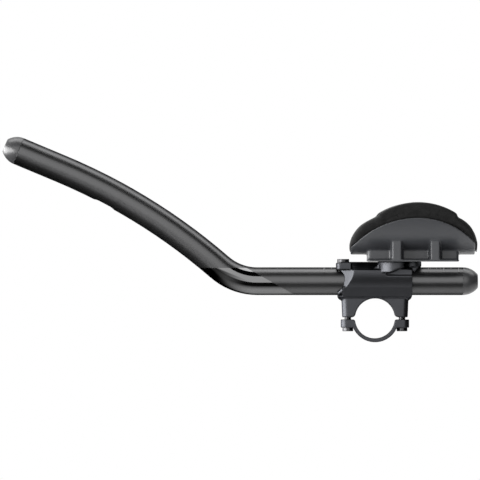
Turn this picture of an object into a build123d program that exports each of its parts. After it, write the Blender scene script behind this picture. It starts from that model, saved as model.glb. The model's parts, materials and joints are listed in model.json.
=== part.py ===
from build123d import *
import math
import os

os.makedirs("parts", exist_ok=True)

# One clip-on aero extension: a bent tube held in a split bracket that clamps on a round handlebar,
# with a forearm cup and pad bolted on top.
# Frame: the origin is the centre of the handlebar bore, +Y runs along the handlebar,
# +X points back to the rider, the tube's nose points to -X, and +Z is up. Millimetres.

# Standard sizes that the part fits
bar_diameter = 31.8
tube_diameter = 22.2

# Extension tube: its centre line from the rear end to the nose
tube_wall = 2.0
rear_run = 69.9
front_run = 93.7
bend_radius = 45.6
bend_angle = 41.0
sweep_radius = 465.0
sweep_angle = 18.3
nose_length = 37.0
port_from_nose = 80.0
port_length = 18.0
port_width = 8.0

# End plugs
plug_head = 12.0
plug_end_diameter = 10.4
plug_edge = 1.2
plug_skirt = 15.0
plug_wall = 1.8
plug_clearance = 0.1
plug_rib = 0.35
plug_rib_width = 1.2
plug_ribs = 3
seam_chamfer = 0.3

# Bolts: low socket heads on M5 shanks
bolt_diameter = 5.0
head_diameter = 8.5
head_height = 3.5
head_edge = 0.4
socket_width = 4.0
socket_depth = 2.4
socket_floor = 0.6
tip_chamfer = 0.5
hole_clearance = 0.25
thread_clearance = 0.05
tip_room = 0.8
washer_thickness = 0.8
washer_margin = 0.4

# Handlebar clamp
clamp_width = 16.0
clamp_gap = 1.8
saddle_web = 2.55
bolt_wall = 2.9
leg_margin = 4.5
leg_draft = 2.4
leg_corner = 4.6
leg_round = 3.0
ear_margin = 5.6
ear_height = 6.4
ear_round = 1.6
cap_wall = 3.0
head_sink = 0.6
clamp_bolt_grip = 11.0

# Sleeve round the tube
sleeve_clearance = 0.05
sleeve_wall = 4.25
sleeve_front = 30.0
sleeve_rear = 29.5
sleeve_edge = 4.0
saddle_fillet = 0.9
mouth_angle = 47.7
mouth_lean = 8.5
mouth_point = 41.5
cheek_radius = 22.0
cheek_offset = 4.9
cheek_rise = 7.6
cheek_drop = 12.0

# Pinch boss on the far side of the sleeve, under an ear that runs across the sleeve's top
pinch_x = -25.05
pinch_bolt_wall = 1.2
pinch_boss_diameter = 9.2
pinch_ear_front = 30.9
pinch_ear_rear = 19.0
pinch_ear_round = 3.6
pinch_ear_edge = 0.6
pinch_head_diameter = 9.5
pinch_boss_top = 14.6
pinch_boss_drop = 6.2
pinch_head_height = 2.2
pinch_bolt_grip = 6.0
slit_height = 8.8
slit_width = 1.2
relief_x = -15.0
relief_width = 1.6
ledge_depth = 0.6
gusset_tip = 1.0
gusset_foot_x = -26.6
gusset_foot_drop = 11.4

# Armrest bosses, one on each side of the tube, with a round platform on the near side
boss_front_x = 9.0
boss_pitch_x = 20.9
boss_offset = 13.0
boss_diameter = 14.0
boss_height = 8.6
boss_rise = 0.3
arm_root_diameter = 8.0
arm_root_offset = 2.5
arm_slope = 26.0
armrest_bolt_grip = 7.0
platform_x = 16.5
platform_offset = 8.0
platform_radius = 14.5
platform_rear = 22.7
platform_slope = 22.0
platform_level = 11.5
rest_radius = 7.0
rest_offset = 3.4
rest_height = 4.3
hood_drop = 7.0
hood_reach = 5.4
hood_width = 17.0
web_length = 11.5
shelf_height = 4.6
shelf_wall = 2.0

# Armrest cup: a trough with a ribbed pedestal
cup_centre = 30.7
cup_length = 97.0
trough_radius = 50.0
cup_wall = 3.0
pedestal_height = 5.5
rim_rise = 29.1
rim_apex = 33.5
rim_front_radius = 70.0
rim_rear_radius = 62.0
rim_corner = 2.5
foot_length = 72.5
foot_corner = 2.6
flange_width = 64.0
flange_thickness = 1.6
core_width = 39.2
rib_fillet = 1.2
rib_width = 7.0
rib_root_width = 10.0
rib_pitch = 30.5
cup_plate = 4.2
cup_hole_step = 14.0
cup_hole_sets = 3
foot_shift = -0.7
rib_shift = 1.4

# Armrest pad and the hook-and-loop strips under it
pad_thickness = 9.0
pad_front_overhang = 2.2
pad_rear_overhang = 1.6
pad_border = 8.1
pad_front_radius = 80.0
pad_rear_radius = 73.0
pad_corner = 25.0
pad_wing = 12.7
pad_wing_radius = 57.0
pad_wing_length = 62.4
pad_wing_corner = 1.2
lip_reach = 3.0
pad_gap = 0.4
strip_thickness = 1.5
strip_clearance = 0.05
strip_length = 64.0
strip_width = 13.0
strip_angle = 36.0

# Sizes that follow from those above
bar_radius = bar_diameter / 2
tube_radius = tube_diameter / 2
tube_bore = tube_radius - tube_wall
sleeve_bore = tube_radius + sleeve_clearance
sleeve_radius = sleeve_bore + sleeve_wall
tube_height = bar_radius + saddle_web + sleeve_bore
bolt_radius = bolt_diameter / 2
clear_hole = bolt_radius + hole_clearance
thread_hole = bolt_radius + thread_clearance
clamp_bolt_x = bar_radius + bolt_wall + clear_hole
head_radius = head_diameter / 2
washer_radius = head_radius + washer_margin
seat_height = tube_height + sleeve_radius + boss_rise
boss_points = [(boss_front_x, -boss_offset), (boss_front_x + boss_pitch_x, boss_offset)]
trough_bottom = seat_height + pedestal_height
trough_centre = trough_bottom + trough_radius
trough_inner = trough_radius - cup_wall
cup_front = cup_centre - cup_length / 2
cup_rear = cup_centre + cup_length / 2
washer_seat = seat_height + cup_plate
strip_outer = trough_inner - strip_clearance
pad_outer = strip_outer - strip_thickness - strip_clearance
pad_inner = pad_outer - pad_thickness

# How far a cutting shape runs past the faces that it cuts, and a reach beyond the whole part
past = 1.0
far = 400.0
close = 0.01


def along_x(radius, start, end, height):
    # A round bar along X between two X positions, at a height above the handlebar
    return Pos((start + end) / 2, 0, height) * Rot(0, 90, 0) * Cylinder(radius, end - start)


def along_y(radius, width):
    # A round bar along the handlebar's axis
    return Rot(90, 0, 0) * Cylinder(radius, width)


def post(radius, x, y, low, high):
    # An upright round bar
    return Pos(x, y, (low + high) / 2) * Cylinder(radius, high - low)


def block(low, high):
    # A box between two corners
    size = [h - l for l, h in zip(low, high)]
    middle = [(h + l) / 2 for l, h in zip(low, high)]
    return Pos(*middle) * Box(*size)


def socket_bolt(grip, height, radius):
    # Head up from the origin, shank down, with a hexagon socket and rounded edges
    head = Pos(0, 0, height / 2) * Cylinder(radius, height)
    head = fillet(head.edges().sort_by(Axis.Z)[-1], head_edge)
    depth = min(socket_depth, height - socket_floor)
    hexagon = RegularPolygon(socket_width / 2, 6, major_radius=False)
    socket = Pos(0, 0, height - depth) * extrude(hexagon, depth)
    shank = Pos(0, 0, -grip / 2) * Cylinder(bolt_radius, grip)
    shank = chamfer(shank.edges().sort_by(Axis.Z)[0], tip_chamfer)
    return head + shank - socket


def washer(radius):
    # A flat ring that lies on the XY plane
    ring = Circle(radius) - Circle(clear_hole)
    return extrude(ring, washer_thickness)


def saddle_seam(edge):
    # The edges where the legs of the saddle meet the sleeve
    middle = edge.center()
    in_band = tube_height - sleeve_radius - past < middle.Z < tube_height - sleeve_bore
    in_legs = abs(middle.Y) < clamp_width and abs(middle.X) < leg_half + past
    return in_band and in_legs


def bore_corners(shape, height):
    # The straight edges along the handlebar bore on the face that lies at a height
    on_face = [e for e in shape.edges() | Axis.Y if abs(e.center().Z - height) < close]
    return [e for e in on_face if abs(e.center().X) < bar_radius + close]


def group(solids, name):
    # Like pieces that share one node
    return Compound(children=list(solids), label=name)


# Extension tube
with BuildLine(Plane.XZ) as centre_line:
    rear = Line((rear_run, tube_height), (-front_run, tube_height))
    bend = JernArc(rear @ 1, rear % 1, bend_radius, -bend_angle)
    sweep_arc = JernArc(bend @ 1, bend % 1, sweep_radius, sweep_angle)
    nose = Line(sweep_arc @ 1, (sweep_arc @ 1) + (sweep_arc % 1) * nose_length)
route = centre_line.wire()
nose_end = nose @ 1
nose_way = nose % 1
rear_end = rear @ 0
mouth = Plane(rear_end, x_dir=(0, 1, 0), z_dir=rear % 0)
outer_tube = sweep(mouth * Circle(tube_radius), route)
inner_tube = sweep(mouth * Circle(tube_bore), route)
port_at = route.length - port_from_nose
port_place = route.position_at(port_at, PositionMode.LENGTH)
port_way = route.tangent_at(port_at, PositionMode.LENGTH)
port_plane = Plane(port_place, x_dir=port_way, z_dir=port_way.cross(Vector(0, 1, 0)))
port = extrude(port_plane * SlotOverall(port_length, port_width), tube_diameter)
extension_tube = outer_tube - inner_tube - port


# End plugs: a ribbed skirt in the tube and a rounded head as wide as the tube
def end_plug():
    skirt_radius = tube_bore - plug_clearance
    end_radius = plug_end_diameter / 2
    with BuildSketch(Plane.XZ) as half:
        with BuildLine():
            Line((0, 0), (plug_head, 0))
            Line((plug_head, 0), (plug_head, end_radius))
            dome = TangentArc((0, tube_radius), (plug_head, end_radius), tangent=(1, 0))
            Line(dome @ 0, (0, skirt_radius))
            Line((0, skirt_radius), (-plug_skirt, skirt_radius))
            Line((-plug_skirt, skirt_radius), (-plug_skirt, skirt_radius - plug_wall))
            Line((-plug_skirt, skirt_radius - plug_wall), (0, skirt_radius - plug_wall))
            Line((0, skirt_radius - plug_wall), (0, 0))
        make_face()
    profile = half.sketch
    end_edge = profile.vertices().filter_by(lambda v: abs(v.X - plug_head) < close).sort_by(Axis.Z)[-1]
    profile = fillet(end_edge, plug_edge)
    seam = profile.vertices().sort_by(Axis.Z)[-1]
    profile = chamfer(seam, seam_chamfer)
    plug = revolve(profile, Axis.X)
    groove = plug_skirt / (plug_ribs + 1)
    for step in range(plug_ribs):
        middle = -groove * (step + 1)
        rib_radius = min(skirt_radius + plug_rib, tube_bore - plug_clearance / 4)
        ring = Circle(rib_radius) - Circle(skirt_radius - plug_wall / 2)
        plug += Pos(middle, 0, 0) * Rot(0, 90, 0) * extrude(ring, plug_rib_width / 2, both=True)
    return plug


plug = end_plug()
rear_place = Plane(rear_end, x_dir=(1, 0, 0), z_dir=(0, 0, 1))
front_place = Plane(nose_end, x_dir=nose_way, z_dir=nose_way.cross(Vector(0, 1, 0)))
rear_end_plug = rear_place * plug
front_end_plug = front_place * plug

# Sleeve: a thick ring round the tube, rounded at its outer ends
with BuildSketch(Plane.XZ) as ring_half:
    with Locations(((sleeve_rear - sleeve_front) / 2, sleeve_radius / 2)):
        Rectangle(sleeve_front + sleeve_rear, sleeve_radius)
    fillet(ring_half.vertices().sort_by(Axis.Y)[-2:], sleeve_edge)
sleeve = Pos(0, 0, tube_height) * revolve(ring_half.sketch, Axis.X)

# Saddle: two drafted legs that stand on the handlebar on each side of the bore
leg_bottom = clamp_gap / 2
leg_half = clamp_bolt_x + leg_margin
leg_widening = (tube_height - leg_bottom) * math.tan(math.radians(leg_draft))
saddle_side = Polygon(
    (-leg_half, leg_bottom),
    (leg_half, leg_bottom),
    (leg_half + leg_widening, tube_height),
    (-leg_half - leg_widening, tube_height),
    align=None,
)
saddle = extrude(Plane.XZ * saddle_side, clamp_width / 2, both=True)
leg_corners = [e for e in saddle.edges() if abs(e.center().X) > leg_half and abs(e.center().Y) > past]
leg_corners = [e for e in leg_corners if leg_bottom + past < e.center().Z < tube_height - past]
saddle = fillet(leg_corners, leg_corner)
body = sleeve + saddle
body = fillet([e for e in body.edges() if saddle_seam(e)], saddle_fillet)

# Near side of the sleeve: a flatter cheek with an oblique mouth, ledge and shelf under the armrest platform
slit_low = tube_height + slit_height - slit_width / 2
slit_high = slit_low + slit_width
sleeve_top = tube_height + sleeve_radius
side = sleeve_radius + pinch_boss_diameter
mouth_slope = math.tan(math.radians(mouth_angle))
mouth_rise = math.tan(math.radians(mouth_lean))
mouth_face = Plane(
    (-mouth_point, 0, 0),
    x_dir=(0, mouth_rise, mouth_slope),
    z_dir=(-1, -mouth_slope, mouth_rise),
)
mouth_cut = extrude(mouth_face * Rectangle(far, far), far)
cheek_zone = block((-far, -far, tube_height - cheek_drop), (far, 0, slit_high))
cheek = Pos(0, cheek_offset, 0) * along_x(cheek_radius, -sleeve_front, sleeve_rear, tube_height + cheek_rise)
body = body - cheek_zone + (cheek & cheek_zone)
body -= mouth_cut & block((-far, -far, -far), (far, 0, slit_high))
ledge_wall = math.sqrt(sleeve_radius**2 - (slit_high - tube_height) ** 2) - ledge_depth
pinch_boss_radius = pinch_boss_diameter / 2
web_front = boss_front_x - web_length
body -= block(
    (pinch_x, -side, slit_high),
    (web_front + web_length / 2, -ledge_wall, sleeve_top + past),
)
shelf_low = tube_height + shelf_height
shelf_back = math.sqrt(sleeve_bore**2 - shelf_height**2) + shelf_wall
body -= block(
    (boss_front_x, -side, shelf_low),
    (sleeve_rear + past, -shelf_back, sleeve_top + past),
)

# Pinch boss with a gusset that runs down and forward into the sleeve, and the ear above them
pinch_y = sleeve_bore + pinch_bolt_wall + bolt_radius
pinch_top = tube_height + pinch_boss_top
pinch_low = slit_low - pinch_boss_drop
gusset_foot_y = math.sqrt((sleeve_radius - gusset_tip) ** 2 - gusset_foot_drop**2)
gusset = loft(
    [
        Pos(pinch_x, pinch_y, pinch_low) * Circle(pinch_boss_radius),
        Pos(gusset_foot_x, gusset_foot_y, tube_height - gusset_foot_drop) * Circle(gusset_tip),
    ]
)
body += post(pinch_boss_radius, pinch_x, pinch_y, pinch_low, slit_high) + gusset
ear = block(
    (-pinch_ear_front, -sleeve_radius, slit_high),
    (-pinch_ear_rear, pinch_y + pinch_boss_radius, pinch_top),
)
ear_posts = (ear.edges() | Axis.Z).sort_by(Axis.X)
ear = fillet(ear_posts[:2], pinch_ear_round)
ear = fillet((ear.edges() | Axis.Z).sort_by(Axis.X)[-2:], pinch_ear_edge)
body += ear


# Far armrest boss on an arm that grows from the top of the sleeve
platform_low = seat_height - boss_height
boss_middle = boss_front_x + boss_pitch_x / 2
boss_rear_x = boss_front_x + boss_pitch_x
arm_root = Pos(boss_middle, arm_root_offset) * Circle(arm_root_diameter / 2)
arm_boss = Pos(boss_rear_x, boss_offset) * Circle(boss_diameter / 2)
arm = Pos(0, 0, platform_low) * extrude(make_hull(arm_root.edges() + arm_boss.edges()), boss_height)
arm_start = boss_rear_x - boss_diameter / 6
arm_rise = boss_pitch_x * math.tan(math.radians(arm_slope))
arm_under = Polygon(
    (arm_start, platform_low),
    (arm_start - boss_pitch_x, platform_low),
    (arm_start - boss_pitch_x, platform_low + arm_rise),
    align=None,
)
body += arm - extrude(Plane.XZ * arm_under, far, both=True)

# Near armrest boss: a round platform whose underside rises to the rear, a rest behind it and its hood
platform = post(platform_radius, platform_x, -platform_offset, platform_low, seat_height)
platform -= block((platform_rear, -far, platform_low), (far, far, seat_height))
platform_rise = (far - platform_level) * math.tan(math.radians(platform_slope))
platform_under = Polygon(
    (platform_level, platform_low),
    (far, platform_low),
    (far, platform_low + platform_rise),
    align=None,
)
body += platform - extrude(Plane.XZ * platform_under, far, both=True)
rest_low = seat_height - rest_height
body += post(rest_radius, boss_rear_x, -rest_offset, rest_low, seat_height)
hood_side = Polygon(
    (sleeve_rear - sleeve_edge, rest_low - hood_drop),
    (sleeve_rear, rest_low - hood_drop),
    (sleeve_rear + hood_reach, rest_low),
    (sleeve_rear + hood_reach, seat_height - boss_rise),
    (sleeve_rear - sleeve_edge, seat_height - boss_rise),
    align=None,
)
body += extrude(Plane.XZ * hood_side, hood_width / 2, both=True)
web_side = Polygon(
    (web_front, seat_height - boss_height),
    (boss_front_x, seat_height - boss_height),
    (boss_front_x, seat_height),
    (boss_front_x - boss_diameter / 4, seat_height),
    (web_front, slit_high),
    align=None,
)
web = extrude(Plane.XZ * web_side, ledge_wall + ledge_depth)
body += web - extrude(Plane.XZ * web_side, ledge_wall / 2)

# Bores, slit and bolt holes of the bracket
body -= along_y(bar_radius, clamp_width * 3)
body = fillet(bore_corners(body, leg_bottom), leg_round)
body -= along_x(sleeve_bore, -sleeve_front - side, sleeve_rear + side, tube_height)
body -= block((-far, 0, slit_low), (relief_x, far, slit_high))
body -= block(
    (relief_x - relief_width / 2, 0, slit_low),
    (relief_x + relief_width / 2, far, sleeve_top + past),
)
clamp_tip = leg_bottom + clamp_bolt_grip
for x in (-clamp_bolt_x, clamp_bolt_x):
    body -= post(thread_hole, x, 0, leg_bottom - past, clamp_tip + tip_room)
pinch_tip = slit_low - pinch_bolt_grip
body -= post(clear_hole, pinch_x, pinch_y, slit_low, pinch_top + past)
body -= post(thread_hole, pinch_x, pinch_y, pinch_tip - tip_room, slit_high)
armrest_tip = seat_height - armrest_bolt_grip
for x, y in boss_points:
    body -= post(thread_hole, x, y, armrest_tip - tip_room, seat_height + past)
clamp_bracket = body

# Handlebar clamp cap: half a ring with two ears
cap_top = -clamp_gap / 2
cap_bottom = cap_top - ear_height
ear_plan = RectangleRounded(2 * (clamp_bolt_x + ear_margin), clamp_width, leg_corner)
cap = along_y(bar_radius + cap_wall, clamp_width) + Pos(0, 0, cap_bottom) * extrude(ear_plan, ear_height)
cap -= along_y(bar_radius, clamp_width * 2)
cap -= block((-far, -far, cap_top), (far, far, far))
cap = fillet(bore_corners(cap, cap_top), ear_round)
head_room = head_radius + hole_clearance
cap_seat = cap_bottom + head_sink
for x in (-clamp_bolt_x, clamp_bolt_x):
    cap -= post(clear_hole, x, 0, cap_bottom - past, cap_top + past)
    cap -= post(head_room, x, 0, cap_bottom - head_height, cap_seat)
bar_clamp_cap = cap

# Bolts and washers
clamp_bolt = socket_bolt(clamp_tip - cap_seat, head_height, head_radius)
bar_clamp_bolts = [Pos(x, 0, cap_seat) * Rot(180, 0, 0) * clamp_bolt for x in (-clamp_bolt_x, clamp_bolt_x)]
pinch_seat = pinch_top + washer_thickness
pinch_bolt = socket_bolt(pinch_seat - pinch_tip, pinch_head_height, pinch_head_diameter / 2)
pinch_bolt = Pos(pinch_x, pinch_y, pinch_seat) * pinch_bolt
pinch_washer = Pos(pinch_x, pinch_y, pinch_top) * washer(pinch_head_diameter / 2)
armrest_seat = washer_seat + washer_thickness
armrest_bolt = socket_bolt(armrest_seat - armrest_tip, head_height, head_radius)
armrest_bolts = [Pos(x, y, armrest_seat) * armrest_bolt for x, y in boss_points]
armrest_washers = [Pos(x, y, washer_seat) * washer(washer_radius) for x, y in boss_points]


# Armrest cup
def arch(front, rear, apex, front_radius, rear_radius, corner):
    # The side outline under a rim that rises from both ends to one apex
    front_turn = math.degrees(math.asin((rim_apex - front) / front_radius))
    rear_turn = math.degrees(math.asin((rear - rim_apex) / rear_radius))
    floor = trough_bottom - cup_wall
    with BuildSketch(Plane.XZ) as outline:
        with BuildLine():
            fore = JernArc((rim_apex, apex), (-1, 0), front_radius, front_turn)
            aft = JernArc((rim_apex, apex), (1, 0), rear_radius, -rear_turn)
            Polyline(fore @ 1, (front, floor), (rear, floor), aft @ 1)
        make_face()
        fillet(outline.vertices().filter_by(lambda v: floor + past < v.Y < apex - past), corner)
    return outline.sketch


def trough(inner, outer, front, rear):
    # Half a pipe along X, open upwards
    pipe = along_x(outer, front, rear, trough_centre)
    pipe -= along_x(inner, front - past, rear + past, trough_centre)
    return pipe - block((-far, -far, trough_centre), (far, far, far))


rim_outline = arch(
    cup_front, cup_rear, trough_bottom + rim_rise, rim_front_radius, rim_rear_radius, rim_corner
)
shell = trough(trough_inner, trough_radius, cup_front, cup_rear)
shell = shell & extrude(rim_outline, trough_radius + past, both=True)
foot_x = cup_centre + foot_shift
flange = Pos(foot_x, 0, seat_height) * extrude(
    RectangleRounded(foot_length, flange_width, foot_corner), flange_thickness
)
rib_plan = Polygon(
    (rib_width / 2, flange_width / 2),
    (-rib_width / 2, flange_width / 2),
    (-rib_root_width / 2, core_width / 2),
    (-rib_root_width / 2, -core_width / 2),
    (-rib_width / 2, -flange_width / 2),
    (rib_width / 2, -flange_width / 2),
    (rib_root_width / 2, -core_width / 2),
    (rib_root_width / 2, core_width / 2),
    align=None,
)
foot_plan = Pos(foot_x, 0) * RectangleRounded(foot_length, core_width, foot_corner)
for side_rib in (-rib_pitch / 2, rib_pitch / 2):
    foot_plan += Pos(cup_centre + rib_shift + side_rib, 0) * rib_plan
on_core = [v for v in foot_plan.vertices() if abs(abs(v.Y) - core_width / 2) < close]
rib_roots = [v for v in on_core if abs(v.X - foot_x) < foot_length / 2 - foot_corner - close]
foot_plan = fillet(rib_roots, rib_fillet)
foot = Pos(0, 0, seat_height) * extrude(foot_plan, trough_centre - seat_height)
foot -= along_x(trough_radius - cup_wall / 2, -far, far, trough_centre)
cup = shell + flange + foot
counterbore = washer_radius + hole_clearance
for x, y in boss_points:
    for step in range(cup_hole_sets):
        hole_x = x + step * cup_hole_step
        cup -= post(clear_hole, hole_x, y, seat_height - past, trough_centre)
        cup -= post(counterbore, hole_x, y, washer_seat, trough_centre)
armrest_cup = cup

# Armrest pad: a thick sheet in the trough whose border rolls over the rim, with raised side wings
pad_front = cup_front - pad_front_overhang
pad_rear = cup_rear + pad_rear_overhang
pad_base = trough_bottom + rim_rise
pad_outline = arch(
    pad_front, pad_rear, pad_base + pad_border, pad_front_radius, pad_rear_radius, pad_corner
)
wing = Pos(rim_apex, pad_base + pad_wing - pad_wing_radius) * Circle(pad_wing_radius)
wing = wing & Pos(rim_apex, pad_base) * Rectangle(pad_wing_length, 2 * pad_wing + past)
wing = fillet(wing.vertices().sort_by(Axis.Y)[-2:], pad_wing_corner)
pad_outline += Plane.XZ * wing
lip_outline = arch(
    cup_front - pad_gap,
    cup_rear + pad_gap,
    pad_base + pad_gap,
    rim_front_radius + pad_gap,
    rim_rear_radius + pad_gap,
    rim_corner,
)
pad = trough(pad_inner, pad_outer + lip_reach, pad_front, pad_rear)
pad = pad & extrude(pad_outline, trough_radius, both=True)
under_rim = trough(pad_outer, trough_radius, pad_front - past, pad_rear + past)
pad -= under_rim & extrude(lip_outline, trough_radius + past, both=True)
armrest_pad = pad

# Hook-and-loop strips stuck in the trough, clear of the bolt holes
half_turn = math.degrees(strip_width / 2 / strip_outer)
strip_front = foot_x - strip_length / 2
strip_ring = trough(strip_outer - strip_thickness, strip_outer, strip_front, strip_front + strip_length)
hook_strips = []
for turn in (-strip_angle, 0, strip_angle):
    wedge_plan = Polygon(
        (0, 0),
        (-far * math.tan(math.radians(half_turn)), -far),
        (far * math.tan(math.radians(half_turn)), -far),
        align=None,
    )
    wedge = extrude(Plane.YZ * wedge_plan, far, both=True)
    wedge = Pos(0, 0, trough_centre) * Rot(turn, 0, 0) * wedge
    hook_strips.append((strip_ring & wedge).solids()[0])

pieces = {
    "extension_tube": extension_tube,
    "front_end_plug": front_end_plug,
    "rear_end_plug": rear_end_plug,
    "clamp_bracket": clamp_bracket,
    "bar_clamp_cap": bar_clamp_cap,
    "bar_clamp_bolts": group(bar_clamp_bolts, "bar_clamp_bolts"),
    "pinch_bolt": pinch_bolt,
    "pinch_washer": pinch_washer,
    "armrest_cup": armrest_cup,
    "armrest_bolts": group(armrest_bolts, "armrest_bolts"),
    "armrest_washers": group(armrest_washers, "armrest_washers"),
    "armrest_pad": armrest_pad,
    "hook_strips": group(hook_strips, "hook_strips"),
}
for name, shape in pieces.items():
    export_step(shape, f"parts/{name}.step")
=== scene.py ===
import json
import math

import bmesh
import bpy
import numpy as np
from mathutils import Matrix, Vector
from mathutils.bvhtree import BVHTree
from mathutils.kdtree import KDTree


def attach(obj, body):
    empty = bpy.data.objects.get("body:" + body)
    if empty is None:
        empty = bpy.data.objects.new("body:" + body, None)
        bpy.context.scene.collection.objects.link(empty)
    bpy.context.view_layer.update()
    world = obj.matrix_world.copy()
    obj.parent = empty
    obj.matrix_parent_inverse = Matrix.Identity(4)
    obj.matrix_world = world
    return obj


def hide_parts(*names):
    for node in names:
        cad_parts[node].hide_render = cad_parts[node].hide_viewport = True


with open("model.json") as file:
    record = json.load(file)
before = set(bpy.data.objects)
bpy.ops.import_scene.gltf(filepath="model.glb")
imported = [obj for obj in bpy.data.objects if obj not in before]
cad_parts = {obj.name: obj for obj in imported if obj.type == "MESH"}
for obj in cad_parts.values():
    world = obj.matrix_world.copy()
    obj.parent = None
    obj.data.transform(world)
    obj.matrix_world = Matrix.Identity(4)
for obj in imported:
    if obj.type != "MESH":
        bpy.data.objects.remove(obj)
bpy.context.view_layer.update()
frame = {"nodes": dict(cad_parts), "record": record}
nodes = frame["nodes"]
scene = bpy.context.scene
mm = 0.001
print("frame loaded:", len(nodes), "nodes")


# small helpers for node trees
def addNode(tree, kind, settings=None, values=None):
    node = tree.nodes.new(kind)
    for name, value in (settings or {}).items():
        setattr(node, name, value)
    for name, value in (values or {}).items():
        node.inputs[name].default_value = value
    return node


def wire(tree, *pairs):
    for source, target in pairs:
        tree.links.new(source, target)


def shaderGroup(name, inputs, outputs):
    tree = bpy.data.node_groups.new(name, "ShaderNodeTree")
    for label, value in inputs.items():
        socket = tree.interface.new_socket(label, in_out="INPUT", socket_type="NodeSocketFloat")
        socket.default_value = value
    for label, kind in outputs.items():
        tree.interface.new_socket(label, in_out="OUTPUT", socket_type=kind)
    return tree, tree.nodes.new("NodeGroupInput"), tree.nodes.new("NodeGroupOutput")


def placeGroup(tree, group, values):
    return addNode(tree, "ShaderNodeGroup", {"node_tree": group}, values)


def principled(name, values):
    material = bpy.data.materials.new(name)
    material.use_nodes = True
    tree = material.node_tree
    tree.nodes.clear()
    shader = addNode(tree, "ShaderNodeBsdfPrincipled", None, values)
    end = addNode(tree, "ShaderNodeOutputMaterial")
    wire(tree, (shader.outputs["BSDF"], end.inputs["Surface"]))
    return material, tree, shader


def rangeNode(tree, low, high, soft=False):
    # 0 at the low value and 1 at the high one
    kind = "SMOOTHSTEP" if soft else "LINEAR"
    limits = {"From Min": low, "From Max": high}
    return addNode(tree, "ShaderNodeMapRange", {"interpolation_type": kind}, limits)


def mixToOutput(tree, amount, first, second):
    # the material shows the first shader where the amount is 0, and the second where it is 1
    mix = addNode(tree, "ShaderNodeMixShader")
    end = next(n for n in tree.nodes if n.type == "OUTPUT_MATERIAL")
    wire(
        tree,
        (amount, mix.inputs[0]),
        (first.outputs[0], mix.inputs[1]),
        (second.outputs[0], mix.inputs[2]),
        (mix.outputs[0], end.inputs["Surface"]),
    )


# camera: level and square to the side, far enough away to look almost flat
cameraSetup = {
    "target": (-0.1074, 0.0, 0.0624),
    "frameWidth": 0.3821,
    "distance": 6.4,
    "sensor": 36.0,
}


def makeCamera(setup):
    data = bpy.data.cameras.new("sideCamera")
    data.sensor_width = setup["sensor"]
    data.lens = setup["sensor"] * setup["distance"] / setup["frameWidth"]
    camera = bpy.data.objects.new("sideCamera", data)
    camera.location = Vector(setup["target"]) - Vector((0, setup["distance"], 0))
    camera.rotation_euler = (math.radians(90), 0, 0)
    scene.collection.objects.link(camera)
    scene.camera = camera


makeCamera(cameraSetup)

# soft studio light: each softbox has its place, aim, width and height, and radiance
# the strip lies under the cup, where the overhead light doesn't reach the tube
softboxes = {
    "overhead": {"place": (0.2, 0.22, 1.3), "aim": (0.2, 0.22, 0), "size": (2.6, 0.84), "radiance": 4.4},
    "front": {"place": (-0.1, -2.2, 0.5), "aim": (-0.1, 0, 0.06), "size": (3.0, 2.4), "radiance": 2.3},
    "left": {"place": (-1.6, -0.6, 0.12), "aim": (0, -0.6, 0.1), "size": (3.2, 0.8), "radiance": 15.5},
    "strip": {
        "place": (0.0575, -0.0057, 0.0452),
        "aim": (0.0575, -0.0057, 0),
        "size": (0.041, 0.0074),
        "radiance": 3.8,
    },
}
# floor, black cloth and a black card over the floor
# cardFront and cardBack run from where the card is gone to where it is full, cardTurn from one to the other
stageSetup = {
    "floorHeight": -0.21,
    "floorRadius": 1.4,
    "floorFade": (0.45, 1.2),
    "floorColour": (0.84, 0.84, 0.84, 1),
    "floorGlow": 0.2,
    "flagRadius": 5.0,
    "flagColour": (0.01, 0.01, 0.01, 1),
    "cardHeight": -0.2,
    "cardSize": 2.4,
    "cardFront": (-0.03, -0.3),
    "cardBack": (0.386, 0.566),
    "cardTurn": (-0.15, -0.32),
    "cardSlant": 2.2,
    "ambient": 0.35,
}


def makeSoftbox(name, setup):
    light = bpy.data.lights.new(name, "AREA")
    light.shape = "RECTANGLE"
    light.size, light.size_y = setup["size"]
    light.energy = setup["radiance"] * math.pi * light.size * light.size_y
    lamp = bpy.data.objects.new(name, light)
    lamp.location = setup["place"]
    lamp.rotation_euler = (Vector(setup["aim"]) - lamp.location).to_track_quat("-Z", "Y").to_euler()
    lamp.visible_camera = False
    scene.collection.objects.link(lamp)


def seenRays(tree):
    # 1 where the camera, a reflection or a transmission looks, 0 for diffuse light
    path = addNode(tree, "ShaderNodeLightPath")
    glossy = addNode(tree, "ShaderNodeMath", {"operation": "MAXIMUM"})
    seen = addNode(tree, "ShaderNodeMath", {"operation": "MAXIMUM"})
    wire(
        tree,
        (path.outputs["Is Camera Ray"], glossy.inputs[0]),
        (path.outputs["Is Glossy Ray"], glossy.inputs[1]),
        (glossy.outputs[0], seen.inputs[0]),
        (path.outputs["Is Transmission Ray"], seen.inputs[1]),
    )
    return seen.outputs[0]


def makeWorld(setup):
    world = bpy.data.worlds.new("studio")
    world.use_nodes = True
    tree = world.node_tree
    tree.nodes.clear()
    background = addNode(tree, "ShaderNodeBackground", None, {"Color": (1, 1, 1, 1)})
    end = addNode(tree, "ShaderNodeOutputWorld")
    level = addNode(tree, "ShaderNodeMapRange", None, {"To Min": setup["ambient"], "To Max": 1.0})
    wire(
        tree,
        (seenRays(tree), level.inputs["Value"]),
        (level.outputs["Result"], background.inputs["Strength"]),
        (background.outputs[0], end.inputs["Surface"]),
    )
    scene.world = world


def stageMesh(name, shape, material):
    mesh = bpy.data.meshes.new(name)
    shape.to_mesh(mesh)
    shape.free()
    mesh.materials.append(material)
    piece = bpy.data.objects.new(name, mesh)
    scene.collection.objects.link(piece)
    return piece


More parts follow.
